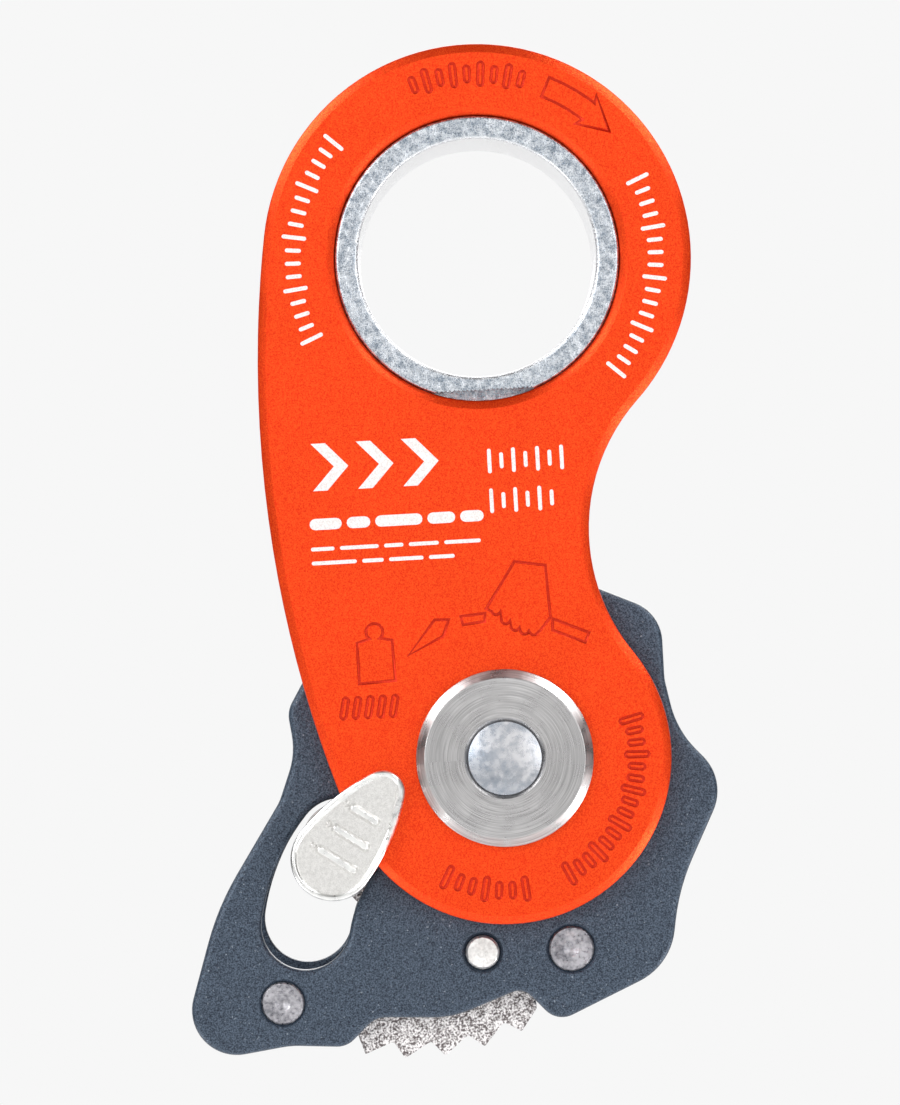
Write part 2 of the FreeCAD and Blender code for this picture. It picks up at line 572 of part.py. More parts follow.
# --- All pieces -------------------------------------------------------------
def make_pieces():
    front_side_plate = make_front_side_plate()
    front_axle_washer = make_front_axle_washer()
    front_frame_plate = make_front_frame_plate()
    front_slide_washer = make_front_slide_washer()
    return {
        "front_side_plate": front_side_plate,
        "rear_side_plate": rear_copy(front_side_plate),
        "collar": make_collar(),
        "axle_rivet": make_axle_rivet(),
        "axle_sleeve": make_axle_sleeve(),
        "front_axle_washer": front_axle_washer,
        "rear_axle_washer": rear_copy(front_axle_washer),
        "sheave_wheel": make_sheave_wheel(),
        "sheave_bush": make_sheave_bush(),
        "front_frame_plate": front_frame_plate,
        "rear_frame_plate": rear_copy(front_frame_plate),
        "left_rivet": make_rivet(LEFT_RIVET, LEFT_RIVET_RADIUS),
        "right_rivet": make_rivet(RIGHT_RIVET, RIGHT_RIVET_RADIUS),
        "left_spacer": make_spacer(LEFT_RIVET),
        "right_spacer": make_spacer(RIGHT_RIVET),
        "cam_pin": make_cam_pin(),
        "front_slide_washer": front_slide_washer,
        "rear_slide_washer": rear_copy(front_slide_washer),
        "cam_spring": make_cam_spring(),
        "toothed_cam": make_toothed_cam(),
        "cam_bush": make_cam_bush(),
        "lever_post": make_lever_post(),
        "thumb_pad": make_thumb_pad(),
        "lever_screw": make_lever_screw(),
    }


os.makedirs("parts", exist_ok=True)
for name, shape in make_pieces().items():
    shape.exportStep("parts/" + name + ".step")
    print(name, "solids", len(shape.Solids), "valid", shape.isValid(), "volume", round(shape.Volume, 2))
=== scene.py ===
"""Looks of the rope-capture pulley: finishes, relief marks, cast cam, thumb pad and studio.

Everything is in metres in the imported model's frame: the front faces -Y, +Z points up to the collar.
"""
import logging
import math
from dataclasses import dataclass
from enum import Enum
from typing import Callable, Iterable, Sequence

import bmesh
import bpy
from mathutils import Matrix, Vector, noise


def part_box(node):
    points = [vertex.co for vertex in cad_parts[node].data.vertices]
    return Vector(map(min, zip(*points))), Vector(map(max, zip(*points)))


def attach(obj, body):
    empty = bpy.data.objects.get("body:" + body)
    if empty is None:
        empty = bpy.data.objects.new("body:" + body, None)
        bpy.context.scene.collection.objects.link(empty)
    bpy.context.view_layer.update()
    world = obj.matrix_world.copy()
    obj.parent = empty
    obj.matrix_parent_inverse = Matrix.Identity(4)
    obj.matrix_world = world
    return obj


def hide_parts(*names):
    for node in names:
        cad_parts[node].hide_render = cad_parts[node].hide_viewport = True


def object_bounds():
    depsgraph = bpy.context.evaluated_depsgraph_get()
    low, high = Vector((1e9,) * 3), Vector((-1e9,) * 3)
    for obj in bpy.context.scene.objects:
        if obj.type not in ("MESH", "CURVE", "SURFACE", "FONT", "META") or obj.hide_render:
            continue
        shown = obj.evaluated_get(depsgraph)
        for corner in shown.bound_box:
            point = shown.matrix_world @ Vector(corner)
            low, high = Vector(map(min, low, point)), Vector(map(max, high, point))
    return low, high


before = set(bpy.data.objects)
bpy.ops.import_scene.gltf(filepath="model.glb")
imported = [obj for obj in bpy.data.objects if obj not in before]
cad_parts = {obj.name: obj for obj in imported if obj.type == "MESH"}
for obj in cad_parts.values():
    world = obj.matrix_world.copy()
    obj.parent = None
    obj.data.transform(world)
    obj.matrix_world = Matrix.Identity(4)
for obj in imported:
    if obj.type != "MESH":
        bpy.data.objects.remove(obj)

LOG = logging.getLogger("pulley")
CAD_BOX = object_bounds()
MM = 0.001
Point = tuple[float, float]
Colour = tuple[float, float, float]


class Body(str, Enum):
    """Bodies that the new pieces ride on."""

    SIDES = "side_body"
    CAM = "cam_lever"


class Slot(str, Enum):
    """Names of the record's material slots; the script does not give them to any piece."""

    RED = "plate_red"
    CAST = "cast_steel"
    LEVER = "lever_metal"


# --- Shader graphs -----------------------------------------------------------
class Graph:
    """Short way to write one material's node tree."""

    def __init__(self, name: str) -> None:
        """Starts a material with a plain Principled shader.

        Args:
            name: the material's name.
        """
        self.material = bpy.data.materials.new(name)
        self.material.use_nodes = True
        self.tree = self.material.node_tree
        self.shader = self.tree.nodes["Principled BSDF"]
        self.place = self.add("ShaderNodeTexCoord").outputs["Object"]

    def add(self, kind: str, **settings: object) -> bpy.types.Node:
        """Adds a node.

        Args:
            kind: the node's type.
            settings: its own properties.

        Returns:
            The node.
        """
        node = self.tree.nodes.new(kind)
        for key, value in settings.items():
            setattr(node, key, value)
        return node

    def feed(self, target: bpy.types.NodeSocket, value: object) -> None:
        """Links a socket, or sets its constant.

        Args:
            target: the input that is fed.
            value: another node's output, or a constant.
        """
        if isinstance(value, bpy.types.NodeSocket):
            self.tree.links.new(value, target)
        else:
            target.default_value = value

    def math(self, operation: str, *values: object) -> bpy.types.NodeSocket:
        """Adds a Math node.

        Args:
            operation: what it works out.
            values: its inputs in order.

        Returns:
            Its result.
        """
        node = self.add("ShaderNodeMath", operation=operation)
        for socket, value in zip(node.inputs, values):
            self.feed(socket, value)
        return node.outputs[0]

    def grain(self, size: float, detail: float = 2.0, stretch: Sequence[float] = (1, 1, 1),
              turn: float = 0.0) -> bpy.types.NodeSocket:
        """Noise whose cells are about one size across.

        Args:
            size: cell size in metres.
            detail: octaves of finer noise.
            stretch: how many times longer the cells are along X, Y and Z.
            turn: angle about Y that the stretched cells are turned by, in radians.

        Returns:
            The noise value, from 0 to 1.
        """
        mapping = self.add("ShaderNodeMapping")
        mapping.inputs["Rotation"].default_value = (0.0, turn, 0.0)
        mapping.inputs["Scale"].default_value = [1.0 / (size * share) for share in stretch]
        self.feed(mapping.inputs["Vector"], self.place)
        texture = self.add("ShaderNodeTexNoise")
        texture.inputs["Scale"].default_value = 1.0
        texture.inputs["Detail"].default_value = detail
        self.feed(texture.inputs["Vector"], mapping.outputs[0])
        return texture.outputs["Fac"]

    def ramp(self, value: bpy.types.NodeSocket, low: float, high: float, start: float = 0.0,
             end: float = 1.0) -> bpy.types.NodeSocket:
        """Maps a value to another range and clamps it there.

        Args:
            value: what is mapped.
            low, high: its range.
            start, end: the range that it is mapped to.

        Returns:
            The mapped value.
        """
        node = self.add("ShaderNodeMapRange")
        for key, number in (("From Min", low), ("From Max", high), ("To Min", start), ("To Max", end)):
            node.inputs[key].default_value = number
        self.feed(node.inputs["Value"], value)
        return node.outputs[0]

    def tint(self, share: bpy.types.NodeSocket, first: Colour | bpy.types.NodeSocket,
             second: Colour) -> bpy.types.NodeSocket:
        """Blends two colours.

        Args:
            share: 0 for the first colour, 1 for the second.
            first, second: the colours.

        Returns:
            The blend.
        """
        node = self.add("ShaderNodeMix", data_type="RGBA")
        self.feed(node.inputs["Factor"], share)
        self.feed(node.inputs[6], first if isinstance(first, bpy.types.NodeSocket) else (*first, 1.0))
        node.inputs[7].default_value = (*second, 1.0)
        return node.outputs[2]

    def bump(self, *layers: tuple[bpy.types.NodeSocket, float]) -> None:
        """Feeds the shader's normal from stacked heights.

        Args:
            layers: pairs of a 0 to 1 height and its depth in metres.
        """
        normal = None
        for height, depth in layers:
            node = self.add("ShaderNodeBump")
            node.inputs["Distance"].default_value = depth
            self.feed(node.inputs["Height"], height)
            if normal is not None:
                self.feed(node.inputs["Normal"], normal)
            normal = node.outputs[0]
        self.feed(self.shader.inputs["Normal"], normal)

    def polar(self, centre: Point) -> tuple[bpy.types.NodeSocket, bpy.types.NodeSocket]:
        """Radius from, and angle about, the Y line through a point.

        Args:
            centre: X and Z of the line.

        Returns:
            The radius in metres and the angle in radians.
        """
        parts = self.add("ShaderNodeSeparateXYZ")
        self.feed(parts.inputs[0], self.place)
        across = self.math("SUBTRACT", parts.outputs[0], centre[0])
        up = self.math("SUBTRACT", parts.outputs[2], centre[1])
        squares = self.math("ADD", self.math("MULTIPLY", across, across), self.math("MULTIPLY", up, up))
        return self.math("SQRT", squares), self.math("ARCTAN2", up, across)

    def rings(self, centre: Point, pitch: float, breaks: float = 1.2) -> bpy.types.NodeSocket:
        """Turning marks: noise that runs in circles about a Y line.

        Args:
            centre: X and Z of the line.
            pitch: distance between marks in metres.
            breaks: how often a mark fades along its circle.

        Returns:
            The height of the marks, from 0 to 1.
        """
        radius, angle = self.polar(centre)
        joined = self.add("ShaderNodeCombineXYZ")
        self.feed(joined.inputs[0], self.math("DIVIDE", radius, pitch))
        self.feed(joined.inputs[1], self.math("MULTIPLY", angle, breaks))
        texture = self.add("ShaderNodeTexNoise")
        texture.inputs["Scale"].default_value = 1.0
        texture.inputs["Detail"].default_value = 3.0
        self.feed(texture.inputs["Vector"], joined.outputs[0])
        return texture.outputs["Fac"]

    def set(self, **values: object) -> None:
        """Sets or links the shader's sockets.

        Args:
            values: by socket name, with an underscore for each space.
        """
        for key, value in values.items():
            self.feed(self.shader.inputs[key.replace("_", " ")], value)


# --- Finishes ----------------------------------------------------------------
@dataclass(frozen=True)
class Anodised:
    """Fine-grained anodised plate.

    Attributes:
        name: the material's name.
        low, high: darkest and lightest colour of its grain.
        metallic: share of metal under the dye.
        roughness: middle roughness.
        grain: grain size in metres.
        depth: grain depth in metres.
        painted_glint: share by which single grains are painted pale, as painted glints.
    """

    name: str
    low: Colour
    high: Colour
    metallic: float
    roughness: float
    grain: float = 0.11 * MM
    depth: float = 0.006 * MM
    painted_glint: float = 0.0

    def make(self) -> bpy.types.Material:
        """Builds the material."""
        graph = Graph(self.name)
        fine = graph.grain(self.grain, 3.0)
        broad = graph.grain(5.0 * MM, 2.0)
        colour = graph.tint(graph.ramp(fine, 0.35, 0.65), self.low, self.high)
        if self.painted_glint:
            # Pale grains painted into the colour: painted glints.
            cells = graph.add("ShaderNodeTexVoronoi")
            cells.inputs["Scale"].default_value = 1.0 / (0.9 * self.grain)
            graph.feed(cells.inputs["Vector"], graph.place)
            bright = graph.ramp(cells.outputs["Color"], 0.90, 1.0, 0.0, self.painted_glint)
            mix = graph.add("ShaderNodeMix", data_type="RGBA")
            graph.feed(mix.inputs["Factor"], bright)
            graph.feed(mix.inputs[6], colour)
            mix.inputs[7].default_value = (0.55, 0.62, 0.70, 1.0)
            colour = mix.outputs[2]
        rough = graph.math("ADD", graph.ramp(broad, 0.3, 0.7, -0.04, 0.04), self.roughness)
        graph.set(Base_Color=colour, Metallic=self.metallic, Roughness=rough)
        graph.bump((fine, self.depth), (graph.grain(3.2 * self.grain, 1.0), self.depth))
        return graph.material


@dataclass(frozen=True)
class Turned:
    """Lathe-turned steel with fine concentric marks.

    Attributes:
        name: the material's name.
        centre: X and Z of the lathe's axis.
        shade: the metal's colour.
        roughness: middle roughness.
        pitch: distance between marks in metres.
        depth: depth of the marks in metres.
    """

    name: str
    centre: Point
    shade: Colour
    roughness: float = 0.3
    pitch: float = 0.07 * MM
    depth: float = 0.008 * MM

    def make(self) -> bpy.types.Material:
        """Builds the material."""
        graph = Graph(self.name)
        marks = graph.rings(self.centre, self.pitch)
        wide = graph.rings(self.centre, 2.5 * self.pitch, 1.6)
        mottle = graph.grain(1.3 * MM, 4.0)
        darker = tuple(0.60 * part for part in self.shade)
        share = graph.math("ADD", marks, graph.math("MULTIPLY", wide, 0.35))
        colour = graph.tint(graph.ramp(share, 0.50, 0.85), darker, self.shade)
        rough = graph.math("ADD", graph.ramp(mottle, 0.35, 0.65, -0.06, 0.08), self.roughness)
        graph.set(Base_Color=colour, Metallic=1.0, Roughness=rough, Anisotropic=0.55)
        tangent = graph.add("ShaderNodeTangent", direction_type="RADIAL", axis="Y")
        graph.feed(graph.shader.inputs["Tangent"], tangent.outputs[0])
        graph.bump((marks, self.depth))
        return graph.material


@dataclass(frozen=True)
class Worn:
    """Handled bare metal: mottled, with short crossing scratches.

    Attributes:
        name: the material's name.
        dark, light: colours of its mottle.
        roughness: middle roughness.
        mottle: size of the mottle in metres.
        depth: depth of the scratches in metres.
        centre: X and Z of the bore, where there is one.
        bore: radius of the bore, whose wall and edge are painted near white as a painted highlight; 0 for none.
    """

    name: str
    dark: Colour
    light: Colour
    roughness: float = 0.28
    mottle: float = 0.7 * MM
    depth: float = 0.008 * MM
    centre: Point = (0.0, 0.0)
    bore: float = 0.0

    def make(self) -> bpy.types.Material:
        """Builds the material."""
        graph = Graph(self.name)
        patches = graph.grain(self.mottle, 6.0)
        broad = graph.grain(6.0 * self.mottle, 2.0)
        first = graph.ramp(graph.grain(0.05 * MM, 2.0, (14, 14, 1), 0.5), 0.58, 0.70)
        second = graph.ramp(graph.grain(0.06 * MM, 2.0, (1, 10, 12), -0.35), 0.60, 0.72)
        share = graph.ramp(graph.math("ADD", patches, broad), 0.75, 1.25)
        rough = graph.math("ADD", graph.ramp(patches, 0.3, 0.7, -0.1, 0.14), self.roughness)
        colour = graph.tint(share, self.dark, self.light)
        if self.bore:
            # Near white painted on the bore's wall and its edge: painted highlight.
            radius, _ = graph.polar(self.centre)
            colour = graph.tint(graph.ramp(radius, self.bore, self.bore + 0.35 * MM, 1.0, 0.0), colour,
                                (0.98, 0.98, 0.99))
        graph.set(Base_Color=colour, Metallic=1.0, Roughness=rough)
        graph.bump((patches, 1.5 * self.depth), (first, self.depth), (second, self.depth))
        return graph.material


@dataclass(frozen=True)
class Grainy:
    """Cast or blasted metal with a pebbled surface.

    Attributes:
        name: the material's name.
        dark, light: colours of the hollows and of the crests: painted shade in the hollows and painted
            highlight on the crests.
        roughness: middle roughness.
        grain: size of the pebbles in metres.
        depth: their depth in metres.
        metallic: share of metal.
        spread: width of the blend between the two colours; less gives harder specks.
    """

    name: str
    dark: Colour
    light: Colour
    roughness: float
    grain: float
    depth: float
    metallic: float = 1.0
    spread: float = 0.4

    def make(self) -> bpy.types.Material:
        """Builds the material."""
        graph = Graph(self.name)
        pebbles = graph.grain(self.grain, 4.0)
        coarse = graph.grain(4.0 * self.grain, 2.0)
        # The colour follows the pebbles' height: painted shade in the hollows, painted highlight on the crests.
        share = graph.ramp(graph.math("ADD", pebbles, graph.math("MULTIPLY", coarse, 0.5)),
                           0.75 - self.spread / 2, 0.75 + self.spread / 2)
        rough = graph.math("ADD", graph.ramp(pebbles, 0.35, 0.65, -0.08, 0.08), self.roughness)
        graph.set(Base_Color=graph.tint(share, self.dark, self.light), Metallic=self.metallic,
                  Roughness=rough)
        graph.bump((pebbles, self.depth), (coarse, 1.5 * self.depth))
        return graph.material


@dataclass(frozen=True)
class Ink:
    """Printed ink, slightly uneven where it takes on the grain under it.

    Attributes:
        name: the material's name.
        low, high: darkest and lightest colour of its specks.
    """

    name: str
    low: Colour
    high: Colour

    def make(self) -> bpy.types.Material:
        """Builds the material."""
        graph = Graph(self.name)
        specks = graph.grain(0.12 * MM, 3.0)
        colour = graph.tint(graph.ramp(specks, 0.3, 0.6), self.low, self.high)
        graph.set(Base_Color=colour, Roughness=0.55)
        graph.bump((specks, 0.004 * MM))
        return graph.material


class Finishes:
    """All materials of the object, made once."""

    def __init__(self, axle: Point, collar: Point, bore: float) -> None:
        """Makes the materials.

        Args:
            axle: X and Z of the main axle.
            collar: X and Z of the collar's centre.
            bore: radius of the collar's bore.
        """
        steel = (0.58, 0.57, 0.57)
        self.red = Anodised("orange_red_anodised", (0.80, 0.028, 0.001), (1.0, 0.088, 0.009), 0.75, 0.36,
                            grain=0.12 * MM, depth=0.020 * MM).make()
        # Darker red for the walls of the stamped grooves: painted shade in the grooves.
        self.groove_shade_red = Anodised("painted_groove_shade", (0.46, 0.013, 0.001), (0.66, 0.028, 0.003), 0.7,
                                 0.38).make()
        # Slate plates, with painted glints in their grain.
        self.slate = Anodised("slate_anodised", (0.008, 0.015, 0.030), (0.084, 0.116, 0.162), 0.35, 0.36,
                              grain=0.13 * MM, depth=0.036 * MM, painted_glint=0.5).make()
        self.turned = Turned("turned_steel", axle, steel).make()
        self.axle_end = Worn("axle_end_steel", (0.36, 0.40, 0.46), (0.66, 0.66, 0.68), 0.24, 0.8 * MM,
                             0.0015 * MM).make()
        # Collar, with a painted highlight in its bore.
        self.collar = Worn("worn_aluminium", (0.22, 0.26, 0.31), (0.72, 0.75, 0.79), 0.28, 0.12 * MM,
                           centre=collar, bore=bore).make()
        self.rivet = Worn("rivet_steel", (0.16, 0.16, 0.18), (0.50, 0.49, 0.52), 0.33, 0.3 * MM,
                          0.010 * MM).make()
        self.pin = Worn("pin_steel", (0.66, 0.64, 0.62), (0.95, 0.94, 0.92), 0.36, 0.3 * MM,
                        0.006 * MM).make()
        self.sheave = Turned("sheave_aluminium", axle, (0.78, 0.79, 0.81), 0.35, 0.09 * MM).make()
        self.bronze = Grainy("sintered_bronze", (0.35, 0.20, 0.08), (0.62, 0.40, 0.18), 0.45, 0.1 * MM,
                             0.006 * MM).make()
        # Cast cam: near-black hollows and near-white crests, painted shade and painted glints.
        self.cast = Grainy("cast_steel", (0.15, 0.13, 0.13), (0.93, 0.90, 0.90), 0.42, 0.20 * MM,
                           0.08 * MM, spread=0.22).make()
        self.blasted = Grainy("blasted_metal", (0.58, 0.57, 0.55), (0.74, 0.73, 0.71), 0.42, 0.09 * MM,
                              0.006 * MM, 0.6).make()
        # Polished finish of the pad's rim; on the rib crests it is partly polish and partly painted highlight.
        self.polished = Worn("polished_rim_and_crest_highlight", (0.74, 0.74, 0.73), (0.90, 0.90, 0.88), 0.30, 0.9 * MM,
                             0.002 * MM).make()
        self.plastic = Grainy("slide_plastic", (0.70, 0.70, 0.68), (0.84, 0.84, 0.82), 0.5, 0.2 * MM,
                              0.002 * MM, 0.0).make()
        self.spring = Worn("spring_wire", (0.30, 0.31, 0.33), (0.55, 0.56, 0.58), 0.3, 0.4 * MM,
                           0.003 * MM).make()
        self.ink = Ink("white_ink", (0.66, 0.60, 0.58), (0.84, 0.80, 0.79)).make()


# --- Meshes ------------------------------------------------------------------
def new_piece(name: str, mesh: bmesh.types.BMesh, material: bpy.types.Material, body: Body) -> bpy.types.Object:
    """Turns a bmesh into a smooth-shaded piece that rides on a body.

    Args:
        name: the piece's name.
        mesh: its bmesh, which is freed.
        material: its finish.
        body: the body that it moves with.

    Returns:
        The piece.
    """
    bmesh.ops.recalc_face_normals(mesh, faces=mesh.faces)
    data = bpy.data.meshes.new(name)
    mesh.to_mesh(data)
    mesh.free()
    data.materials.append(material)
    piece = bpy.data.objects.new(name, data)
    bpy.context.scene.collection.objects.link(piece)
    data.shade_smooth()
    data.set_sharp_from_angle(angle=math.radians(32))
    for face in data.polygons:
        if abs(face.normal.y) > 0.9999:
            face.use_smooth = False
    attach(piece, body.value)
    LOG.info("%s: %d vertices on %s", name, len(data.vertices), body.value)
    return piece


def dress(nodes: Iterable[str], material: bpy.types.Material) -> None:
    """Gives CAD nodes a finish.

    Args:
        nodes: their names.
        material: the finish.
    """
    for name in nodes:
        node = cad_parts[name]
        node.data.materials.clear()
        node.data.materials.append(material)
        LOG.info("%s: %s", name, material.name)


def centre_of(node: str) -> Point:
    """X and Z of the middle of a CAD node's box."""
    low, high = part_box(node)
    return ((low.x + high.x) / 2, (low.z + high.z) / 2)


def bore_of(node: str, centre: Point) -> float:
    """Smallest distance of a CAD node's surface from the Y line through a point."""
    return min(math.hypot(vertex.co.x - centre[0], vertex.co.z - centre[1])
               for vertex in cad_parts[node].data.vertices)


def offset_outline(outline: Sequence[Point], distance: float) -> list[Point]:
    """Outline moved outwards by a distance, with mitred corners.

    Args:
        outline: points in anticlockwise order seen from the front.
        distance: how far each side moves out.

    Returns:
        As many points as the outline has.
    """
    moved = []
    for index, here in enumerate(outline):
        before = Vector(outline[index - 1])
        after = Vector(outline[(index + 1) % len(outline)])
        point = Vector(here)
        first = (point - before).normalized()
        second = (after - point).normalized()
        out = Vector((first.y + second.y, -first.x - second.x))
        if out.length < 1e-6:
            out = Vector((first.y, -first.x))
        out.normalize()
        share = max(0.5, out.dot(Vector((first.y, -first.x))))
        moved.append(tuple(point + out * distance / share))
    return moved


def stacked_rings(rings: Sequence[tuple[Sequence[Point], float]]) -> bmesh.types.BMesh:
    """Closed solid through outlines at different heights.

    Args:
        rings: pairs of an outline and its height Y, with as many points each.

    Returns:
        The solid's bmesh, capped at both ends.
    """
    mesh = bmesh.new()
    loops = [[mesh.verts.new((x, y, z)) for x, z in outline] for outline, y in rings]
    for lower, upper in zip(loops, loops[1:]):
        for index in range(len(lower)):
            follower = (index + 1) % len(lower)
            mesh.faces.new((lower[index], lower[follower], upper[follower], upper[index]))
    mesh.faces.new(loops[0])
    mesh.faces.new(loops[-1])
    return mesh


def arc_points(centre: Point, radius: float, start: float, end: float, steps: int) -> list[Point]:
    """Points along an arc.

    Args:
        centre: the arc's centre.
        radius: its radius.
        start, end: its angles in degrees.
        steps: how many chords it has.

    Returns:
        The points, both ends included.
    """
    angles = [start + (end - start) * step / steps for step in range(steps + 1)]
    return [polar_point(centre, radius, angle) for angle in angles]


def polar_point(centre: Point, radius: float, angle: float) -> Point:
    """Point at a radius and an angle in degrees from a centre."""
    turn = math.radians(angle)
    return (centre[0] + radius * math.cos(turn), centre[1] + radius * math.sin(turn))


def area(outline: Sequence[Point]) -> float:
    """Signed area of an outline.

    Args:
        outline: its points.

    Returns:
        The area, positive when the points run anticlockwise.
    """
    total = 0.0
    for index, (x, z) in enumerate(outline):
        after = outline[(index + 1) % len(outline)]
        total += x * after[1] - after[0] * z
    return total / 2


def bar_outline(centre: Point, length: float, width: float, angle: float) -> list[Point]:
    """Bar with round ends.

    Args:
        centre: its middle.
        length, width: its size over all.
        angle: its direction in degrees.

    Returns:
        The outline's points, anticlockwise.
    """
    along = Vector((math.cos(math.radians(angle)), math.sin(math.radians(angle))))
    reach = max(length - width, 0.0) / 2
    far = tuple(Vector(centre) + along * reach)
    near = tuple(Vector(centre) - along * reach)
    return (arc_points(far, width / 2, angle - 90, angle + 90, 6)
            + arc_points(near, width / 2, angle + 90, angle + 270, 6))


def temporary(name: str, mesh: bmesh.types.BMesh, scale: float = 1.0) -> bpy.types.Object:
    """Object that a modifier works on, to be removed later; its bmesh is freed.

    It has two empty material slots, so that faces keep their number, 0 or 1, through the modifier.

    Args:
        name: its name.
        mesh: its bmesh.
        scale: how many times larger it is made.

    Returns:
        The object, linked to the scene.
    """
    bmesh.ops.scale(mesh, vec=(scale, scale, scale), verts=mesh.verts)
    data = bpy.data.meshes.new(name)
    mesh.to_mesh(data)
    mesh.free()
    for _ in range(2):
        data.materials.append(None)
    item = bpy.data.objects.new(name, data)
    bpy.context.scene.collection.objects.link(item)
    return item


def evaluated(item: bpy.types.Object) -> bmesh.types.BMesh:
    """Applies a temporary object's modifiers.

    Args:
        item: the object, which is removed.

    Returns:
        Its bmesh.
    """
    data = bpy.data.meshes.new_from_object(item.evaluated_get(bpy.context.evaluated_depsgraph_get()))
    mesh = bmesh.new()
    mesh.from_mesh(data)
    bpy.data.meshes.remove(data)
    bpy.data.objects.remove(item)
    return mesh


def merge(meshes: Iterable[bmesh.types.BMesh]) -> bmesh.types.BMesh:
    """Joins bmeshes.

    Args:
        meshes: the bmeshes, which are freed.

    Returns:
        One bmesh that holds them all.
    """
    whole = bmesh.new()
    for part in meshes:
        data = bpy.data.meshes.new("part")
        part.to_mesh(data)
        part.free()
        whole.from_mesh(data)
        bpy.data.meshes.remove(data)
    return whole


# --- Side plates and their marks ---------------------------------------------
@dataclass
class SidePlates:
    """The two red plates; the front one has stamped grooves, with painted shade on their walls, and white
    printing.

    Attributes:
        finishes: the object's materials.
        groove_width, groove_depth: section of the stamped V grooves at the plate's face.
        clear: how far the cutter stands out of the face.
        print_height: thickness of the ink.
        band_radius: middle of the band round the collar, where the curved marks lie.
        legend_radius: middle of the band round the axle.
        tick_width: width of a stamped tick.
    """

    finishes: Finishes
    groove_width: float = 0.28 * MM
    groove_depth: float = 0.16 * MM
    clear: float = 0.03 * MM
    print_height: float = 0.02 * MM
    band_radius: float = 16.6 * MM
    legend_radius: float = 12.3 * MM
    tick_width: float = 0.50 * MM

    def __post_init__(self) -> None:
        """Finds the plate's face and the axle in the frame."""
        self.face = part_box("front_side_plate")[0].y
        self.axle = centre_of("axle_rivet")
        self.grooves: list[bmesh.types.BMesh] = []

    def place(self, x: float, z: float) -> Point:
        """Point counted in millimetres from the collar's centre, which is the origin."""
        return (x * MM, z * MM)

    def stamp(self, outline: Sequence[Point]) -> None:
        """Adds a V groove to the grooves to be cut.

        Args:
            outline: the line that the groove's bottom follows.
        """
        reach = self.groove_width / 2 * (1 + self.clear / self.groove_depth)
        loops = ((offset_outline(outline, reach), self.face - self.clear),
                 (outline, self.face + self.groove_depth),
                 (offset_outline(outline, -reach), self.face - self.clear))
        mesh = bmesh.new()
        rings = [[mesh.verts.new((x, y, z)) for x, z in loop] for loop, y in loops]
        for index, ring in enumerate(rings):
            other = rings[(index + 1) % len(rings)]
            for step in range(len(ring)):
                follower = (step + 1) % len(ring)
                mesh.faces.new((ring[step], ring[follower], other[follower], other[step]))
        bmesh.ops.recalc_face_normals(mesh, faces=mesh.faces)
        self.grooves.append(mesh)

    def build(self) -> None:
        """Dresses both plates, stamps the front one and prints on it."""
        dress(["rear_side_plate"], self.finishes.red)
        self.stamp_arrow()
        self.stamp_signs()
        self.stamp_ticks()
        self.cut_grooves()
        self.build_printing()

    def cut_grooves(self) -> None:
        """Makes the stamped front plate from the CAD plate, in millimetres for the solver's sake."""
        plate = bmesh.new()
        plate.from_mesh(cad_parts["front_side_plate"].data)
        bmesh.ops.remove_doubles(plate, verts=plate.verts, dist=0.001 * MM)
        blank = temporary("blank", plate, 1 / MM)
        cutter = temporary("cutter", merge(self.grooves), 1 / MM)
        # The cutter's faces keep material 1, so the groove walls get the darker red as painted shade.
        for face in cutter.data.polygons:
            face.material_index = 1
        cut = blank.modifiers.new("cut", "BOOLEAN")
        cut.operation = "DIFFERENCE"
        cut.solver = "EXACT"
        cut.use_self = True
        cut.object = cutter
        stamped = evaluated(blank)
        bmesh.ops.scale(stamped, vec=(MM, MM, MM), verts=stamped.verts)
        bpy.data.objects.remove(cutter)
        piece = new_piece("stamped_side_plate", stamped, self.finishes.red, Body.SIDES)
        # Second slot: the darker red, painted shade on the groove walls.
        piece.data.materials.append(self.finishes.groove_shade_red)
        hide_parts("front_side_plate")

    def stamp_arrow(self) -> None:
        """Arrow in the band at the upper right, pointing the way the frame opens."""
        radius = self.band_radius + 0.5 * MM
        half, head = 0.95 * MM, 1.65 * MM
        tail, neck, tip = 65.0, 49.5, 40.5
        centre = (0.0, 0.0)
        outline = arc_points(centre, radius + half, neck, tail, 8)
        outline += arc_points(centre, radius - half, tail, neck, 8)
        outline += [polar_point(centre, radius - head, neck + 1.0),
                    polar_point(centre, radius - 0.1 * MM, tip),
                    polar_point(centre, radius + head, neck + 1.0)]
        self.stamp(outline)

    def stamp_signs(self) -> None:
        """Plain signs: a weight, a wedge, and a block with teeth between two bars."""
        weight = [self.place(-13.1, -38.9), self.place(-9.75, -38.75), self.place(-9.85, -35.0)]
        weight += arc_points(self.place(-11.45, -34.15), 0.78 * MM, -52, 232, 14)
        weight += [self.place(-13.1, -35.1)]
        wedge = [self.place(-8.4, -36.5), self.place(-5.1, -34.9), self.place(-4.5, -33.4),
                 self.place(-5.8, -33.35)]
        block = [self.place(-0.95, -32.55), self.place(1.9, -28.35), self.place(4.75, -28.85),
                 self.place(4.95, -33.7), self.place(3.9, -34.9)]
        for index in range(5):
            block += arc_points(self.place(3.35 - 0.85 * index, -34.85 + 0.13 * index * index),
                                0.42 * MM, -20, -165, 5)
        left_bar = [self.place(-3.35, -33.15), self.place(-1.1, -33.0), self.place(-1.15, -33.75),
                    self.place(-3.2, -33.95)]
        right_bar = [self.place(5.15, -33.85), self.place(8.45, -35.3), self.place(8.05, -36.2),
                     self.place(5.1, -34.9)]
        for outline in (weight, wedge, block, left_bar, right_bar):
            self.stamp(outline if area(outline) > 0 else outline[::-1])

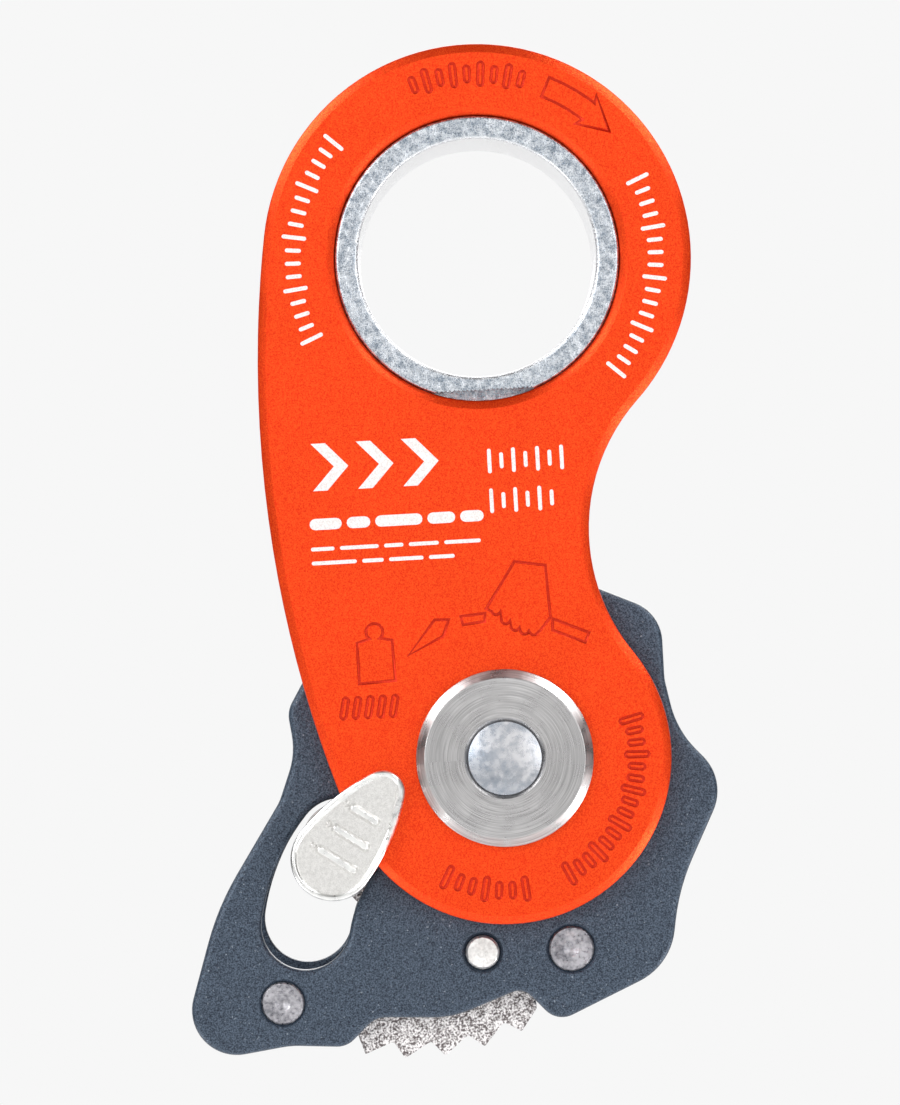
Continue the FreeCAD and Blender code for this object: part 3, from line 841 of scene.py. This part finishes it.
    def tick_row(self, centre: Point, radius: float, start: float, end: float, lengths: Sequence[float],
                 width: float) -> list[list[Point]]:
        """Radial ticks spread evenly along an arc.

        Args:
            centre: the arc's centre.
            radius: its radius.
            start, end: its angles in degrees.
            lengths: length of each tick in millimetres.
            width: width of a tick.

        Returns:
            The ticks' outlines.
        """
        outlines = []
        for index, length in enumerate(lengths):
            angle = start + (end - start) * index / (len(lengths) - 1)
            outlines.append(bar_outline(polar_point(centre, radius, angle), length * MM, width, angle))
        return outlines

    def stamp_ticks(self) -> None:
        """Rows of ticks: before the arrow, round the axle and under the weight."""
        rows = self.tick_row((0.0, 0.0), self.band_radius + 0.5 * MM, 107, 73, (1.5, 2.2) * 4 + (1.5,),
                             self.tick_width)
        rows += self.tick_row(self.axle, self.legend_radius, -119, -84, (2.2, 1.5, 1.5) * 2 + (2.2,),
                              self.tick_width)
        rows += self.tick_row(self.axle, self.legend_radius, -64, 14, (2.2, 1.5, 1.5) * 5 + (2.2,),
                              self.tick_width)
        rows += [bar_outline(self.place(-14.6 + 1.15 * index, -41.1), 2.0 * MM, self.tick_width, 78)
                 for index in range(5)]
        for outline in rows:
            self.stamp(outline)

    def printed(self, outline: Sequence[Point]) -> bmesh.types.BMesh:
        """Thin printed patch.

        Args:
            outline: its outline.

        Returns:
            Its bmesh.
        """
        return stacked_rings([
            (outline, self.face + self.print_height),
            (outline, self.face - 0.6 * self.print_height),
            (offset_outline(outline, -0.015 * MM), self.face - self.print_height),
        ])

    def dashes(self, start: Point, lengths: Sequence[float], gap: float,
               width: float) -> list[list[Point]]:
        """Row of level bars.

        Args:
            start: the row's left end.
            lengths: length of each bar in millimetres.
            gap: space between bars in millimetres.
            width: width of a bar.

        Returns:
            The bars' outlines.
        """
        outlines = []
        left = start[0]
        for length in lengths:
            outlines.append(bar_outline((left + length * MM / 2, start[1]), length * MM, width, 0.0))
            left += (length + gap) * MM
        return outlines

    def build_printing(self) -> None:
        """White printing: chevrons over broken lines, two short rows, and ticks round the collar."""
        chevrons = []
        for index in range(3):
            left, middle = -16.4 + 4.2 * index, -18.6
            chevrons.append([self.place(left, middle - 2.2), self.place(left + 1.35, middle - 2.2),
                             self.place(left + 3.4, middle), self.place(left + 1.35, middle + 2.2),
                             self.place(left, middle + 2.2), self.place(left + 2.05, middle)])
        lines = self.dashes(self.place(-16.9, -23.9), (3.0, 2.2, 4.4, 2.6, 2.2), 0.45, 1.05 * MM)
        lines += self.dashes(self.place(-16.9, -26.2), (2.2, 3.6, 1.8, 2.8, 3.4), 0.5, 0.36 * MM)
        lines += self.dashes(self.place(-16.9, -27.5), (4.2, 2.0, 3.2, 2.4), 0.5, 0.36 * MM)
        rows = []
        for row, count in enumerate((7, 6)):
            for index in range(count):
                middle = self.place(0.1 + 1.12 * index, -18.9 - 3.7 * row)
                rows.append(bar_outline(middle, (2.3 - 0.8 * (index % 2)) * MM, 0.36 * MM, 90))
        ticks = (2.3, 1.5, 1.5, 1.5) * 4 + (2.3,)
        left = self.tick_row((0.0, 0.0), 17.1 * MM, 203, 138, ticks, 0.38 * MM)
        right = self.tick_row((0.0, 0.0), self.band_radius, 23, -42, ticks, 0.38 * MM)
        for name, outlines in (("chevron_print", chevrons), ("line_print", lines), ("row_print", rows),
                               ("left_tick_print", left), ("right_tick_print", right)):
            new_piece(name, merge([self.printed(outline) for outline in outlines]), self.finishes.ink,
                      Body.SIDES)


# --- Collar, axle and sheave --------------------------------------------------
@dataclass
class CollarAndAxle:
    """Collar, axle, its washers and the sheave, which keep their CAD shapes.

    Attributes:
        finishes: the object's materials.
    """

    finishes: Finishes

    def build(self) -> None:
        """Dresses the pieces."""
        dress(["collar"], self.finishes.collar)
        dress(["front_axle_washer", "rear_axle_washer", "axle_sleeve"], self.finishes.turned)
        dress(["axle_rivet"], self.finishes.axle_end)
        dress(["sheave_wheel"], self.finishes.sheave)
        dress(["sheave_bush"], self.finishes.bronze)


# --- Swing frame ---------------------------------------------------------------
@dataclass
class SwingFrame:
    """Dark plates with their rivets, spacers, pin, slide washers and spring.

    Attributes:
        finishes: the object's materials.
    """

    finishes: Finishes

    def build(self) -> None:
        """Dresses the pieces."""
        dress(["front_frame_plate", "rear_frame_plate"], self.finishes.slate)
        dress(["left_rivet", "right_rivet", "left_spacer", "right_spacer"], self.finishes.rivet)
        dress(["cam_pin"], self.finishes.pin)
        dress(["front_slide_washer", "rear_slide_washer"], self.finishes.plastic)
        dress(["cam_spring"], self.finishes.spring)


# --- Cam -------------------------------------------------------------------------
@dataclass
class CastCam:
    """Cast toothed cam with rounded edges and a pebbled skin.

    Attributes:
        finishes: the object's materials.
        voxel: size of the cells that the casting is remeshed with.
        rounds: smoothing passes, which round its edges.
        pebble: size of the pebbles of its skin.
        depth: depth of the hollows between them.
    """

    finishes: Finishes
    voxel: float = 0.15 * MM
    rounds: int = 3
    pebble: float = 0.34 * MM
    depth: float = 0.035 * MM

    def build(self) -> None:
        """Makes the casting from the CAD cam and dresses its bush."""
        source = bmesh.new()
        source.from_mesh(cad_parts["toothed_cam"].data)
        blank = temporary("cam_blank", source)
        remesh = blank.modifiers.new("cells", "REMESH")
        remesh.mode = "VOXEL"
        remesh.voxel_size = self.voxel
        mesh = evaluated(blank)
        for _ in range(self.rounds):
            bmesh.ops.smooth_vert(mesh, verts=mesh.verts, factor=0.5, use_axis_x=True, use_axis_y=True,
                                  use_axis_z=True)
        mesh.normal_update()
        for vertex in mesh.verts:
            height = noise.noise(vertex.co / self.pebble)
            height += 0.5 * noise.noise(vertex.co / (0.45 * self.pebble))
            vertex.co -= vertex.normal * self.depth * (0.5 + 0.5 * height)
        cast = new_piece("cast_cam", mesh, self.finishes.cast, Body.CAM)
        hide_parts("toothed_cam")
        dress(["cam_bush"], self.finishes.bronze)


# --- Thumb lever -------------------------------------------------------------------
def ease(value: float) -> float:
    """Smooth step from 0 to 1, clamped outside that range."""
    value = min(max(value, 0.0), 1.0)
    return value * value * (3 - 2 * value)


@dataclass
class ThumbLever:
    """Egg-shaped thumb pad with a polished rim and three ribs, on its post.

    Attributes:
        finishes: the object's materials.
        heel_radius, tip_radius: rounding of the pad's wide and narrow ends.
        bulge: how far its long sides stand out past straight ones.
        front_room: from the front of its CAD box back to the level that its surface is worked out from.
        rim_drop: from that level back to the rim.
        back_round: rounding of the back edge.
        edge_round: rounding of the front edge.
        rim: width of the raised rim.
        recess: depth of the floor inside the rim.
        rib_height, rib_width: size of the ribs.
        rib_place: middle rib's middle from the heel's centre, in millimetres.
        rib_slope: direction of the ribs in degrees.
        rib_pitch: distance between ribs.
        rib_lengths: lengths from the tip to the heel, in millimetres.
        dot_radius: size of the dot at the left end of each rib.
        dot_gap: from a rib's end to the middle of the dot beside it.
        facet_width: width of the facet on the right of the tip.
        around, rim_steps, across: steps of the mesh round the pad, over its rim and on to its middle.
    """

    finishes: Finishes
    heel_radius: float = 3.9 * MM
    tip_radius: float = 2.05 * MM
    bulge: float = 0.3 * MM
    front_room: float = 0.05 * MM
    rim_drop: float = 0.25 * MM
    back_round: float = 0.25 * MM
    edge_round: float = 0.30 * MM
    rim: float = 0.62 * MM
    recess: float = 0.20 * MM
    rib_height: float = 0.36 * MM
    rib_width: float = 1.05 * MM
    rib_place: Point = (1.78, 1.88)
    rib_slope: float = -35.0
    rib_pitch: float = 2.45 * MM
    rib_lengths: tuple[float, ...] = (3.4, 4.2, 4.6)
    dot_radius: float = 0.34 * MM
    dot_gap: float = 0.8 * MM
    facet_width: float = 0.85 * MM
    around: int = 340
    rim_steps: int = 16
    across: int = 46

    def __post_init__(self) -> None:
        """Places the pad in its CAD box."""
        low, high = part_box("thumb_pad")
        self.front, self.back = low.y + self.front_room, high.y
        self.heel = Vector((low.x + self.heel_radius, low.z + self.heel_radius))
        self.tip = Vector((high.x - self.tip_radius, high.z - self.tip_radius))
        self.rib_middle = self.heel + Vector(self.rib_place) * MM

    def build(self) -> None:
        """Builds the pad and dresses the post and its screw."""
        pad = new_piece("ribbed_thumb_pad", self.pad_mesh(), self.finishes.blasted, Body.CAM)
        pad.data.materials.append(self.finishes.polished)
        for face in pad.data.polygons:
            point = Vector((face.center.x, face.center.z))
            nearest = self.middle_line(point)
            inset = self.half_width(nearest) - (point - nearest).length
            # Rib crests get the lighter polished finish: partly polish, partly painted highlight.
            on_crest = self.relief(point) > 0.97
            face.material_index = 1 if inset < 0.85 * self.rim or on_crest else 0
        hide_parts("thumb_pad")
        dress(["lever_post", "lever_screw"], self.finishes.blasted)

    def middle_line(self, point: Vector) -> Vector:
        """Nearest point on the line from the heel's centre to the tip's.

        Args:
            point: X and Z.

        Returns:
            X and Z of the nearest point.
        """
        axis = self.tip - self.heel
        share = min(max((point - self.heel).dot(axis) / axis.length_squared, 0.0), 1.0)
        return self.heel + axis * share

    def half_width(self, middle: Vector) -> float:
        """Distance from the middle line to the outline.

        Args:
            middle: point on the middle line.

        Returns:
            The distance there.
        """
        share = (middle - self.heel).length / (self.tip - self.heel).length
        straight = self.heel_radius + (self.tip_radius - self.heel_radius) * share
        return straight + self.bulge * 4 * share * (1 - share)

    def outline(self) -> list[Vector]:
        """Reads the outline from the back face of the CAD pad.

        Returns:
            Evenly spaced points, X and Z.
        """
        corners = {(round(vertex.co.x, 7), round(vertex.co.z, 7))
                   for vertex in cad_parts["thumb_pad"].data.vertices
                   if abs(vertex.co.y - self.back) < 0.001 * MM}
        middle = (self.heel + self.tip) / 2
        ordered = sorted((Vector(corner) for corner in corners),
                         key=lambda point: math.atan2(point.y - middle.y, point.x - middle.x))
        followers = ordered[1:] + ordered[:1]
        lengths = [(after - point).length for point, after in zip(ordered, followers)]
        step = sum(lengths) / self.around
        points, walked, index = [], 0.0, 0
        for count in range(self.around):
            while walked + lengths[index] < count * step:
                walked += lengths[index]
                index += 1
            share = (count * step - walked) / lengths[index]
            points.append(ordered[index].lerp(followers[index], share))
        return points

    def height(self, point: Vector, inset: float) -> float:
        """Height Y of the front surface.

        Args:
            point: X and Z.
            inset: distance in from the outline.

        Returns:
            Y of the surface.
        """
        drop = 0.0
        if inset < self.edge_round:
            drop = self.edge_round - math.sqrt(self.edge_round ** 2 - (self.edge_round - inset) ** 2)
        facet_start = self.tip + Vector((self.tip_radius - self.facet_width, 0.0))
        facet = (point - facet_start).dot(Vector((0.97, -0.24)))
        on_facet = ease(facet / (0.1 * MM)) if (point - self.heel).dot(self.tip - self.heel) > 0 else 0.0
        floor = self.recess * ease((inset - 0.55 * self.rim) / (0.5 * self.rim)) * (1 - on_facet)
        drop += max(facet, 0.0) * 0.75 * on_facet
        return self.front + self.rim_drop + drop + floor - self.relief(point) * self.rib_height

    def relief(self, point: Vector) -> float:
        """How far the ribs and dots rise at a point, from 0 to 1.

        Args:
            point: X and Z.

        Returns:
            Share of the rib's height.
        """
        along = Vector((math.cos(math.radians(self.rib_slope)), math.sin(math.radians(self.rib_slope))))
        step = Vector((-along.y, along.x))
        rise = 0.0
        for index, length in enumerate(self.rib_lengths):
            middle = self.rib_middle + step * (1 - index) * self.rib_pitch
            reach = (length * MM - self.rib_width) / 2
            offset = point - middle
            run = min(max(offset.dot(along), -reach), reach)
            away = (offset - along * run).length
            rise = max(rise, ease(1.6 * (1 - away / (0.5 * self.rib_width))))
            dot = (offset + along * (reach + self.dot_gap)).length
            rise = max(rise, 0.8 * ease(1.6 * (1 - dot / self.dot_radius)))
        return rise

    def pad_mesh(self) -> bmesh.types.BMesh:
        """Makes the pad: flat back, rounded edges and front surface.

        Returns:
            Its closed bmesh.
        """
        mesh = bmesh.new()
        outline = self.outline()
        middles = [self.middle_line(point) for point in outline]
        rings = []
        corner = 0.28 * self.back_round
        for inset, y in ((self.back_round, self.back), (corner, self.back - corner),
                         (0.0, self.back - self.back_round)):
            rings.append([self.lift(point + (middle - point).normalized() * inset, y)
                          for point, middle in zip(outline, middles)])
        band = 1.4 * self.rim
        for level in range(self.rim_steps + 1):
            inset = band * (level / self.rim_steps) ** 1.3
            rings.append([self.front_point(*pair, inset) for pair in zip(outline, middles)])
        for level in range(1, self.across + 1):
            ring = []
            for point, middle in zip(outline, middles):
                reach = (middle - point).length - band
                ring.append(self.front_point(point, middle, band + reach * level / self.across))
            rings.append(ring)
        loops = [[mesh.verts.new(place) for place in ring] for ring in rings]
        for lower, upper in zip(loops, loops[1:]):
            for index in range(self.around):
                follower = (index + 1) % self.around
                mesh.faces.new((lower[index], lower[follower], upper[follower], upper[index]))
        mesh.faces.new(loops[0])
        bmesh.ops.remove_doubles(mesh, verts=mesh.verts, dist=0.004 * MM)
        return mesh

    def front_point(self, point: Vector, middle: Vector, inset: float) -> Vector:
        """Point on the front surface.

        Args:
            point: X and Z on the outline.
            middle: X and Z that the point moves in towards.
            inset: how far it moves in.

        Returns:
            The point in space.
        """
        place = point + (middle - point).normalized() * inset
        return self.lift(place, self.height(place, inset))

    def lift(self, point: Vector, y: float) -> Vector:
        """XZ point at a height Y."""
        return Vector((point.x, y, point.y))


# --- Studio ---------------------------------------------------------------------------
@dataclass
class Studio:
    """Camera, soft lights and a pale floor below the object.

    Attributes:
        view_height: height of the picture at the front plate.
        distance: camera to the front plate.
        aim: middle of the picture from the middle of the CAD box, in X and Z.
        roll: how far the object leans to the left in the picture, in degrees.
        sensor: long side of the camera's sensor in millimetres.
        backdrop: brightness behind the object.
        floor_drop: from the object's lowest point to the floor.
        floor_radius: size of the round floor.
    """

    view_height: float = 102.6 * MM
    distance: float = 0.75
    aim: Point = (1.25 * MM, 0.0)
    roll: float = 3.2
    sensor: float = 36.0
    backdrop: float = 0.93
    floor_drop: float = 0.3
    floor_radius: float = 1.5

    def build(self) -> None:
        """Makes the floor, the world, the lights and the camera."""
        low, high = CAD_BOX
        self.middle = (low + high) / 2
        self.make_floor(low.z - self.floor_drop)
        self.make_world()
        self.make_light("front_left", (-0.50, -0.62, 0.25), 0.50, 2.6)
        self.make_light("front_right", (0.55, -0.62, 0.10), 0.50, 1.6)
        for name, across, up, power in (("upper_left", -1, 1, 1.5), ("upper_right", 1, 1, 1.5),
                                        ("lower_left", -1, -1, 1.1), ("lower_right", 1, -1, 1.6)):
            self.make_light(name, (0.36 * across, -0.04, 0.36 * up), 0.26, power)
        self.make_light("back", (0.10, 0.60, 0.25), 0.40, 1.5)
        self.make_camera()

    def make_floor(self, height: float) -> None:
        """Round pale floor below the object.

        Args:
            height: its Z.
        """
        mesh = bmesh.new()
        bmesh.ops.create_circle(mesh, cap_ends=True, segments=96, radius=self.floor_radius)
        data = bpy.data.meshes.new("floor")
        mesh.to_mesh(data)
        mesh.free()
        graph = Graph("pale_floor")
        graph.set(Base_Color=(0.86, 0.86, 0.86, 1.0), Roughness=0.8, Emission_Color=(1.0, 1.0, 1.0, 1.0),
                  Emission_Strength=0.30)
        data.materials.append(graph.material)
        floor = bpy.data.objects.new("floor", data)
        floor.location = (self.middle.x, self.middle.y, height)
        bpy.context.scene.collection.objects.link(floor)

    def make_world(self) -> None:
        """Pale surround, seen as one tone; its light is bright in front and behind, dim at the sides."""
        world = bpy.data.worlds.new("studio")
        world.use_nodes = True
        tree = world.node_tree
        background = tree.nodes["Background"]
        path = tree.nodes.new("ShaderNodeLightPath")
        place = tree.nodes.new("ShaderNodeTexCoord")
        parts = tree.nodes.new("ShaderNodeSeparateXYZ")
        tree.links.new(place.outputs["Generated"], parts.inputs[0])
        ramp = tree.nodes.new("ShaderNodeMapRange")
        for key, number in (("From Min", 0.45), ("From Max", 0.85), ("To Min", 0.16), ("To Max", 0.92)):
            ramp.inputs[key].default_value = number
        depth = tree.nodes.new("ShaderNodeMath")
        depth.operation = "ABSOLUTE"
        tree.links.new(parts.outputs[1], depth.inputs[0])
        tree.links.new(depth.outputs[0], ramp.inputs["Value"])
        mix = tree.nodes.new("ShaderNodeMix")
        mix.data_type = "FLOAT"
        tree.links.new(path.outputs["Is Camera Ray"], mix.inputs["Factor"])
        tree.links.new(ramp.outputs[0], mix.inputs[2])
        mix.inputs[3].default_value = self.backdrop
        tree.links.new(mix.outputs[0], background.inputs["Strength"])
        background.inputs["Color"].default_value = (1.0, 1.0, 1.0, 1.0)
        bpy.context.scene.world = world

    def make_light(self, name: str, place: tuple[float, float, float], size: float,
                   power: float) -> None:
        """Square soft light that points at the object.

        Args:
            name: its name.
            place: where it stands, from the middle of the CAD box.
            size: its side in metres.
            power: its power in watts.
        """
        data = bpy.data.lights.new(name, "AREA")
        data.size = size
        data.energy = power
        light = bpy.data.objects.new(name, data)
        light.location = self.middle + Vector(place)
        light.rotation_euler = (-Vector(place)).to_track_quat("-Z", "Y").to_euler()
        bpy.context.scene.collection.objects.link(light)

    def make_camera(self) -> None:
        """Long-lens camera straight in front, rolled so that the object leans as it lay."""
        data = bpy.data.cameras.new("camera")
        data.sensor_width = self.sensor
        data.lens = self.sensor * self.distance / self.view_height
        camera = bpy.data.objects.new("camera", data)
        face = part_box("front_side_plate")[0].y
        camera.location = (self.middle.x + self.aim[0], face - self.distance,
                           self.middle.z + self.aim[1])
        camera.rotation_euler = (math.radians(90), math.radians(self.roll), 0.0)
        bpy.context.scene.collection.objects.link(camera)
        bpy.context.scene.camera = camera
        bpy.context.scene.view_settings.view_transform = "Standard"


def main() -> None:
    """Builds the object's looks in order."""
    logging.basicConfig(level=logging.INFO, format="%(name)s %(message)s")
    collar = centre_of("collar")
    finishes = Finishes(centre_of("axle_rivet"), collar, bore_of("collar", collar))
    stages: tuple[Callable[[], None], ...] = (
        SidePlates(finishes).build,
        CollarAndAxle(finishes).build,
        SwingFrame(finishes).build,
        CastCam(finishes).build,
        ThumbLever(finishes).build,
        Studio().build,
    )
    for stage in stages:
        stage()


if __name__ == "__main__":
    main()
